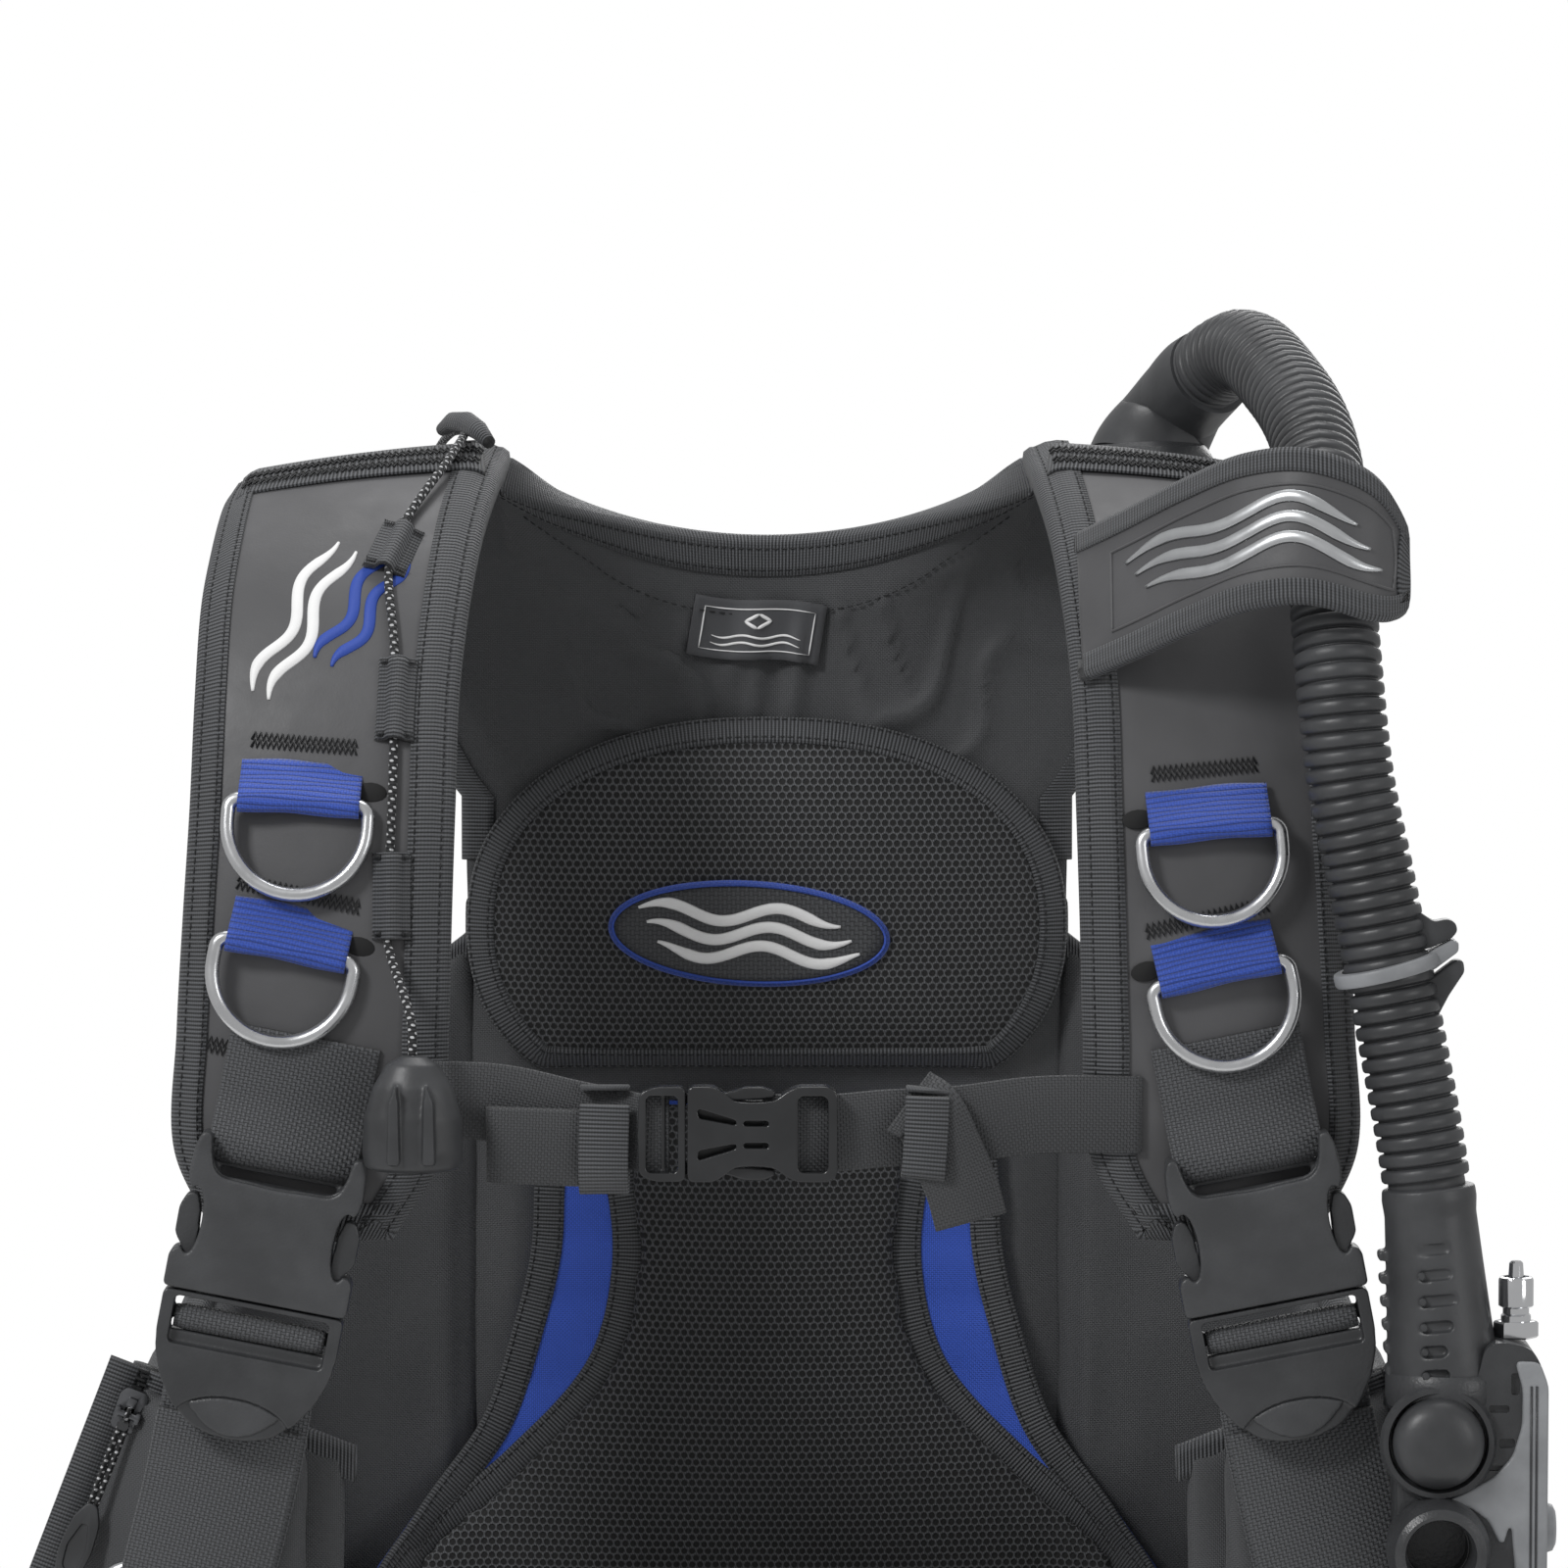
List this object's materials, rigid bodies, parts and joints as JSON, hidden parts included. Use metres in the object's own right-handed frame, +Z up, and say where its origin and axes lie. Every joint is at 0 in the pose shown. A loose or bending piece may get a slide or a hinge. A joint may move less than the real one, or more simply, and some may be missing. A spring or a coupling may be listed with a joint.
{
  "type": "buoyancy compensator vest",
  "caption": "Adjustable diving vest with an air cell, padded shoulder straps, backplate, tank band, buckles, zipped pockets and a hose with a power inflator.",
  "frame": {"origin": "middle of the backplate's flat rear seat, where the cylinder rests, level with the tank band", "axes": "+Z up, towards the wearer's head; +Y backwards, towards the cylinder; +X towards the wearer's left"},
  "size_m": [0.5001, 0.4651, 0.559],
  "materials": {
    "coated_fabric": "smooth coated nylon, satin",
    "nylon": "plain woven nylon",
    "spacer_mesh": "open spacer mesh",
    "blue_fabric": "blue woven nylon",
    "webbing": "ribbed black webbing",
    "moulded_plastic": "fine spark-eroded texture",
    "grey_plastic": "satin grey",
    "rubber": "satin moulded rubber",
    "stainless": "tumbled stainless wire",
    "plated_brass": "bright plated"
  },
  "bodies": {
    "vest": {"tank_band": "webbing", "backplate": "moulded_plastic", "cam_buckle_base": "moulded_plastic", "air_cell_back": "nylon", "air_cell_wing_left": "nylon", "air_cell_wing_right": "nylon", "shoulder_strap_left": "coated_fabric", "shoulder_strap_right": "coated_fabric", "d_ring_loop_upper_left": "blue_fabric", "d_ring_loop_lower_left": "blue_fabric", "d_ring_loop_upper_right": "blue_fabric", "d_ring_loop_lower_right": "blue_fabric", "shoulder_buckle_socket_left": "moulded_plastic", "shoulder_buckle_socket_right": "moulded_plastic", "shoulder_webbing_left": "webbing", "shoulder_webbing_right": "webbing", "lower_webbing_left": "webbing", "lower_webbing_right": "webbing", "pocket_left": "nylon", "pocket_right": "nylon", "harness_panel": "blue_fabric", "lumbar_pad": "spacer_mesh", "upper_back_pad": "spacer_mesh", "cummerbund_left": "nylon", "cummerbund_right": "nylon", "waist_buckle_socket": "moulded_plastic", "waist_webbing_left": "webbing", "waist_webbing_right": "webbing", "sternum_buckle_socket": "moulded_plastic", "sternum_strap_left": "webbing", "sternum_strap_right": "webbing", "corrugated_hose": "rubber", "inflator_elbow": "moulded_plastic", "hose_cuff": "rubber", "inflator_handset": "moulded_plastic", "low_pressure_nipple": "plated_brass", "hose_clip": "grey_plastic", "dump_cord": "webbing", "shoulder_dump_valve": "moulded_plastic", "rear_dump_valve": "moulded_plastic"},
    "d_ring_upper_left": {"d_ring_upper_left": "stainless"},
    "d_ring_lower_left": {"d_ring_lower_left": "stainless"},
    "d_ring_upper_right": {"d_ring_upper_right": "stainless"},
    "d_ring_lower_right": {"d_ring_lower_right": "stainless"},
    "d_ring_low_right": {"d_ring_low_right": "stainless"},
    "shoulder_insert_left": {"shoulder_buckle_insert_left": "moulded_plastic"},
    "zip_slider_left": {"zip_slider_left": "moulded_plastic"},
    "zip_pull_left": {"zip_pull_left": "rubber"},
    "shoulder_insert_right": {"shoulder_buckle_insert_right": "moulded_plastic"},
    "zip_slider_right": {"zip_slider_right": "moulded_plastic"},
    "zip_pull_right": {"zip_pull_right": "rubber"},
    "sternum_insert": {"sternum_buckle_insert": "moulded_plastic"},
    "waist_insert": {"waist_buckle_insert": "moulded_plastic"},
    "cam_lever": {"cam_lever": "moulded_plastic"},
    "inflate_button": {"inflate_button": "grey_plastic"},
    "deflate_button": {"deflate_button": "moulded_plastic"},
    "dump_knob": {"dump_knob": "rubber"},
    "rear_dump_plunger": {"rear_dump_plunger": "rubber"},
    "hose_flap": {"hose_flap": "coated_fabric"}
  },
  "joints": [
    {"name": "d_ring_upper_left_swing", "type": "hinge", "parent": "vest", "child": "d_ring_upper_left", "pos_m": [0.1429, -0.20465, 0.14099], "axis": [-0.9958, -0.008, -0.0908], "range_deg": [0, 120]},
    {"name": "d_ring_lower_left_swing", "type": "hinge", "parent": "vest", "child": "d_ring_lower_left", "pos_m": [0.14565, -0.21054, 0.09483], "axis": [-0.9767, -0.0029, -0.2144], "range_deg": [0, 120]},
    {"name": "d_ring_upper_right_swing", "type": "hinge", "parent": "vest", "child": "d_ring_upper_right", "pos_m": [-0.15008, -0.2022, 0.14919], "axis": [-0.9977, 0.0082, 0.0676], "range_deg": [0, 120]},
    {"name": "d_ring_lower_right_swing", "type": "hinge", "parent": "vest", "child": "d_ring_lower_right", "pos_m": [-0.15376, -0.20924, 0.10241], "axis": [-0.9796, 0.0039, 0.2011], "range_deg": [0, 120]},
    {"name": "d_ring_low_right_swing", "type": "hinge", "parent": "vest", "child": "d_ring_low_right", "pos_m": [-0.197, -0.2, -0.114], "axis": [0.1736, 0, 0.9848], "range_deg": [0, 10]},
    {"name": "shoulder_buckle_release_left", "type": "slide", "parent": "vest", "child": "shoulder_insert_left", "axis": [0.1908, 0, -0.9816], "range_m": [0, 0.026]},
    {"name": "pocket_zip_left", "type": "slide", "parent": "vest", "child": "zip_slider_left", "axis": [0.3615, 0, -0.9324], "range_m": [0, 0.0851]},
    {"name": "zip_pull_swing_left", "type": "hinge", "parent": "zip_slider_left", "child": "zip_pull_left", "pos_m": [0.20798, -0.1836, -0.05226], "axis": [-0.9324, 0, -0.3615], "range_deg": [0, 20]},
    {"name": "shoulder_buckle_release_right", "type": "slide", "parent": "vest", "child": "shoulder_insert_right", "axis": [-0.1908, 0, -0.9816], "range_m": [0, 0.026]},
    {"name": "pocket_zip_right", "type": "slide", "parent": "vest", "child": "zip_slider_right", "axis": [-0.3615, 0, -0.9324], "range_m": [0, 0.0851]},
    {"name": "zip_pull_swing_right", "type": "hinge", "parent": "zip_slider_right", "child": "zip_pull_right", "pos_m": [-0.20798, -0.1836, -0.05226], "axis": [-0.9324, 0, 0.3615], "range_deg": [0, 110]},
    {"name": "sternum_buckle_release", "type": "slide", "parent": "vest", "child": "sternum_insert", "axis": [-1, 0, 0], "range_m": [0, 0.026]},
    {"name": "waist_buckle_release", "type": "slide", "parent": "vest", "child": "waist_insert", "axis": [-1, 0, 0], "range_m": [0, 0.026]},
    {"name": "cam_lever_turn", "type": "hinge", "parent": "vest", "child": "cam_lever", "pos_m": [-0.026, 0.2012, 0], "axis": [0, 0, 1], "range_deg": [0, 110]},
    {"name": "inflate_press", "type": "slide", "parent": "vest", "child": "inflate_button", "axis": [-1, 0, 0], "range_m": [0, 0.003], "stiffness_N_per_m": 1500, "springref_m": -0.0005},
    {"name": "deflate_press", "type": "slide", "parent": "vest", "child": "deflate_button", "axis": [0, 1, 0], "range_m": [0, 0.004], "stiffness_N_per_m": 1200, "springref_m": -0.0005},
    {"name": "dump_knob_pull", "type": "slide", "parent": "vest", "child": "dump_knob", "axis": [0, 0, -1], "range_m": [0, 0.01], "stiffness_N_per_m": 600, "springref_m": -0.001},
    {"name": "rear_dump_pull", "type": "slide", "parent": "vest", "child": "rear_dump_plunger", "axis": [0, 1, 0], "range_m": [0, 0.006], "stiffness_N_per_m": 600, "springref_m": -0.0005},
    {"name": "hose_flap_open", "type": "hinge", "parent": "vest", "child": "hose_flap", "pos_m": [0.103, -0.173, 0.211], "axis": [0, -0.5269, -0.8499], "range_deg": [0, 80]}
  ]
}
